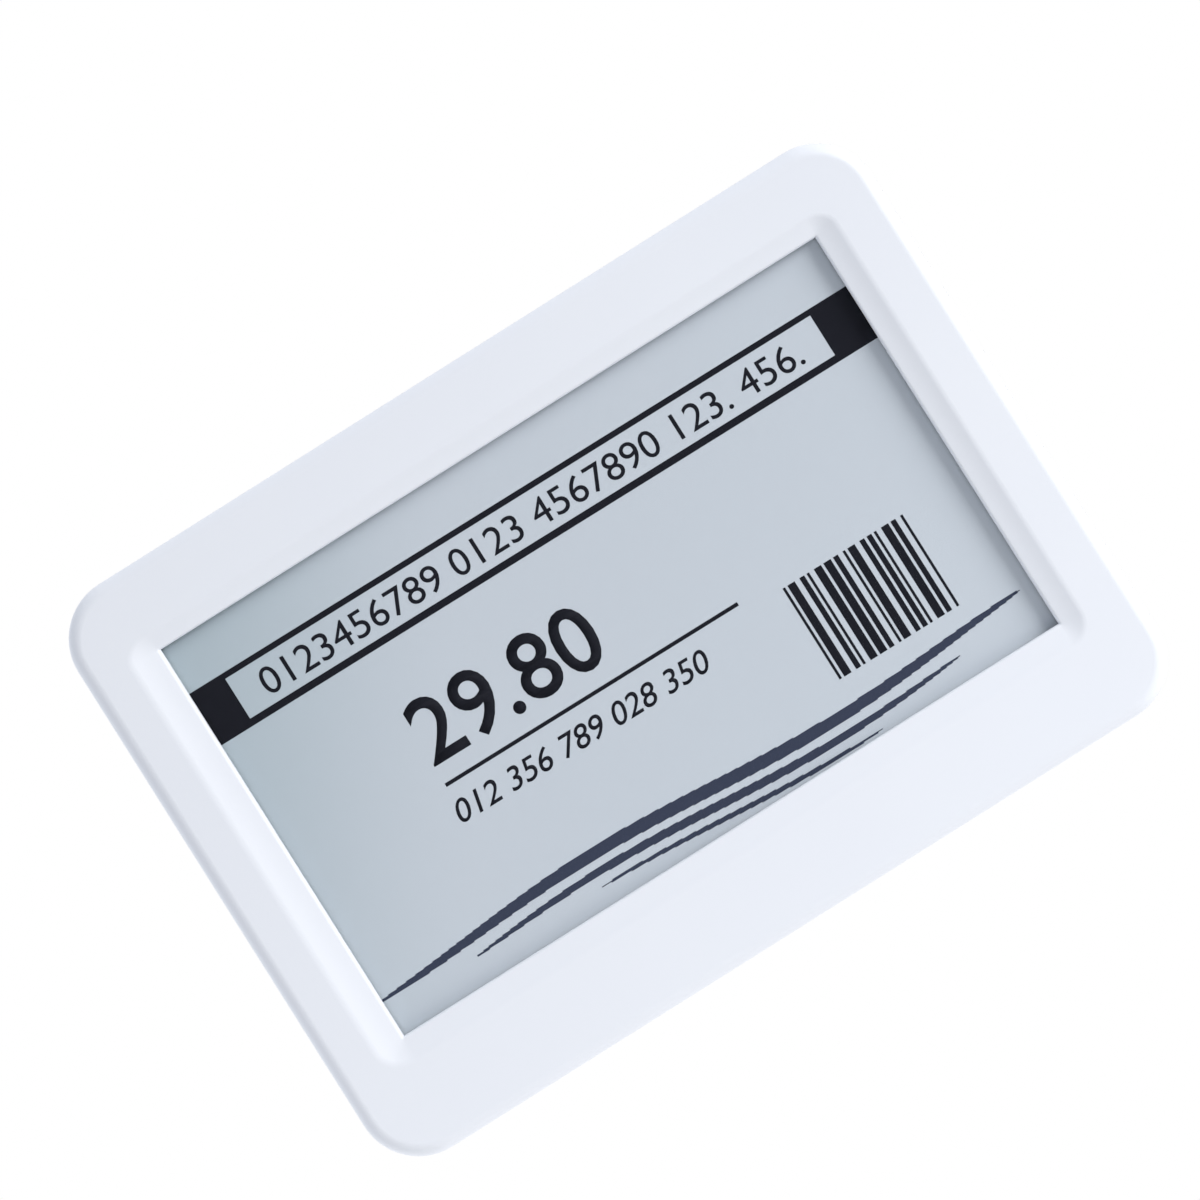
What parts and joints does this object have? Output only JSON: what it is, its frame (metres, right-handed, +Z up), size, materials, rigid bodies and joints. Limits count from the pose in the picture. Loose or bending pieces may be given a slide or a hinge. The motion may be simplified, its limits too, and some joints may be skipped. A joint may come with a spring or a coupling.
{
  "type": "electronic shelf label",
  "caption": "Wide electronic paper shelf label: white two-part housing with a dished window, display, board, coin cells, rear battery door and wake button.",
  "frame": {"origin": "centre of the four bracket inserts, on the back face", "axes": "+X to the right seen from the front, +Y out of the back, +Z up; the display faces -Y"},
  "size_m": [0.1976, 0.0153, 0.14],
  "materials": {
    "front_plastic": "fine satin moulded ABS, cool white",
    "back_plastic": "fine spark-eroded moulded ABS, cool white",
    "carrier_plastic": "plain moulded, grey",
    "button_plastic": "satin grey",
    "dark_plastic": "moulded, near black",
    "connector_plastic": "moulded, ivory",
    "screw_steel": "zinc plated",
    "tinned_steel": "tinned, satin",
    "cell_steel": "nickel plated",
    "insert_brass": "turned",
    "contact_bronze": "stamped sheet",
    "gasket_foam": "closed-cell foam",
    "clear_sheet": "clear film with an anti-glare face",
    "ink_film": "electronic paper, pale grey",
    "display_glass": "thin backplane glass",
    "chip_epoxy": "moulded epoxy",
    "tail_polyimide": "amber film",
    "tape_white": "thin double-sided tape",
    "board_laminate": "glass-epoxy laminate with solder mask",
    "ferrite": "ferrite, dull",
    "capacitor_ceramic": "fired, tan",
    "tantalum_resin": "moulded resin, yellow"
  },
  "bodies": {
    "housing": {"front_cover": "front_plastic", "rear_cover": "back_plastic", "cover_screws": "screw_steel", "display_gasket": "gasket_foam", "clear_sheet": "clear_sheet", "ink_film": "ink_film", "display_glass": "display_glass", "driver_chip": "chip_epoxy", "display_tail": "tail_polyimide", "display_tape": "tape_white", "display_carrier": "carrier_plastic", "carrier_screws": "screw_steel", "main_board": "board_laminate", "board_screws": "screw_steel", "radio_controller": "chip_epoxy", "controller_shield": "tinned_steel", "memory_chip": "chip_epoxy", "clock_crystal": "tinned_steel", "boost_inductor": "ferrite", "boost_diodes": "chip_epoxy", "ceramic_capacitors": "capacitor_ceramic", "chip_resistors": "chip_epoxy", "storage_capacitor": "tantalum_resin", "radio_antenna": "tinned_steel", "tail_connector": "connector_plastic", "wake_switch": "tinned_steel", "cell_springs": "contact_bronze", "cell_rim_contacts": "contact_bronze", "coin_cell_1": "cell_steel", "coin_cell_2": "cell_steel", "coin_cell_3": "cell_steel", "coin_cell_4": "cell_steel", "door_inserts": "insert_brass", "bracket_inserts": "insert_brass"},
    "door": {"battery_door": "back_plastic", "door_pads": "gasket_foam", "door_screws": "screw_steel"},
    "button": {"wake_button": "button_plastic"},
    "plunger": {"switch_plunger": "dark_plastic"},
    "lock": {"tail_lock": "dark_plastic"}
  },
  "joints": [
    {"name": "battery_door_off", "type": "slide", "parent": "housing", "child": "door", "axis": [0, 1, 0], "range_m": [0, 0.02]},
    {"name": "wake_button_press", "type": "slide", "parent": "housing", "child": "button", "axis": [0, -1, 0], "range_m": [0, 0.0003], "stiffness_N_per_m": 3000},
    {"name": "switch_plunger_press", "type": "slide", "parent": "housing", "child": "plunger", "axis": [0, -1, 0], "range_m": [0, 0.0003]},
    {"name": "tail_lock_flip", "type": "hinge", "parent": "housing", "child": "lock", "pos_m": [0, -0.00537, -0.0468], "axis": [1, 0, 0], "range_deg": [0, 90]}
  ],
  "couplings": [
    {"joint": "switch_plunger_press", "follows": "wake_button_press", "ratio": 1}
  ]
}
